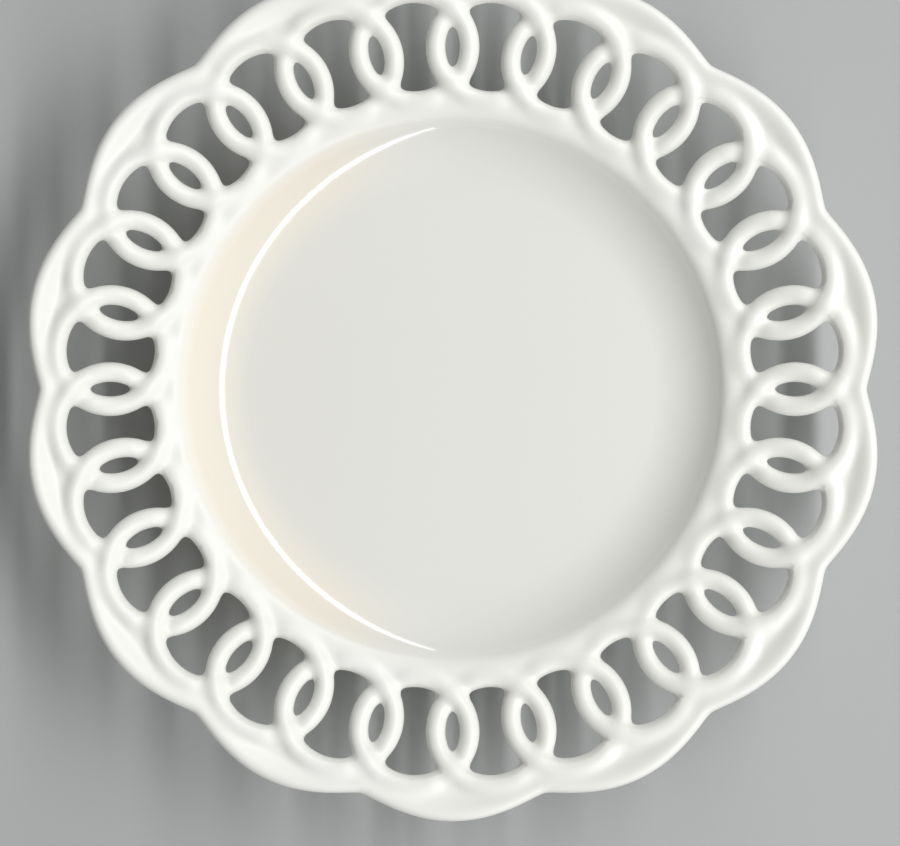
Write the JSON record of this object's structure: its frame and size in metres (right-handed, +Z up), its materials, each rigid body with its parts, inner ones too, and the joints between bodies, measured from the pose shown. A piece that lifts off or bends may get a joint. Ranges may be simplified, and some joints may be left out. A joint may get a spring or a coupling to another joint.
{
  "type": "bread and butter plate",
  "caption": "Round bread and butter plate in opaque white pressed glass, with a flat well, a curved wall, a pierced border of interlaced rings and a scalloped petal rim.",
  "frame": {"origin": "middle of the plate, on the surface that its foot ring stands on", "axes": "+Z up out of the well; +X through a notch of the rim, to the right in the picture; +Y through the tip of a petal, to the top of the picture"},
  "size_m": [0.177, 0.18, 0.0223],
  "materials": {
    "white_glass": "opaque white pressed glass, fire polished and glossy, with faint waviness"
  },
  "bodies": {
    "root": {"well": "white_glass", "cavetto": "white_glass", "foot_ring": "white_glass", "ring_01": "white_glass", "ring_02": "white_glass", "ring_03": "white_glass", "ring_04": "white_glass", "ring_05": "white_glass", "ring_06": "white_glass", "ring_07": "white_glass", "ring_08": "white_glass", "ring_09": "white_glass", "ring_10": "white_glass", "ring_11": "white_glass", "ring_12": "white_glass", "ring_13": "white_glass", "ring_14": "white_glass", "ring_15": "white_glass", "ring_16": "white_glass", "ring_17": "white_glass", "ring_18": "white_glass", "ring_19": "white_glass", "ring_20": "white_glass", "ring_21": "white_glass", "ring_22": "white_glass", "ring_23": "white_glass", "ring_24": "white_glass", "ring_25": "white_glass", "ring_26": "white_glass", "ring_27": "white_glass", "ring_28": "white_glass", "petal_01": "white_glass", "petal_02": "white_glass", "petal_03": "white_glass", "petal_04": "white_glass", "petal_05": "white_glass", "petal_06": "white_glass", "petal_07": "white_glass", "petal_08": "white_glass", "petal_09": "white_glass", "petal_10": "white_glass", "petal_11": "white_glass", "petal_12": "white_glass", "petal_13": "white_glass", "petal_14": "white_glass"}
  },
  "joints": []
}
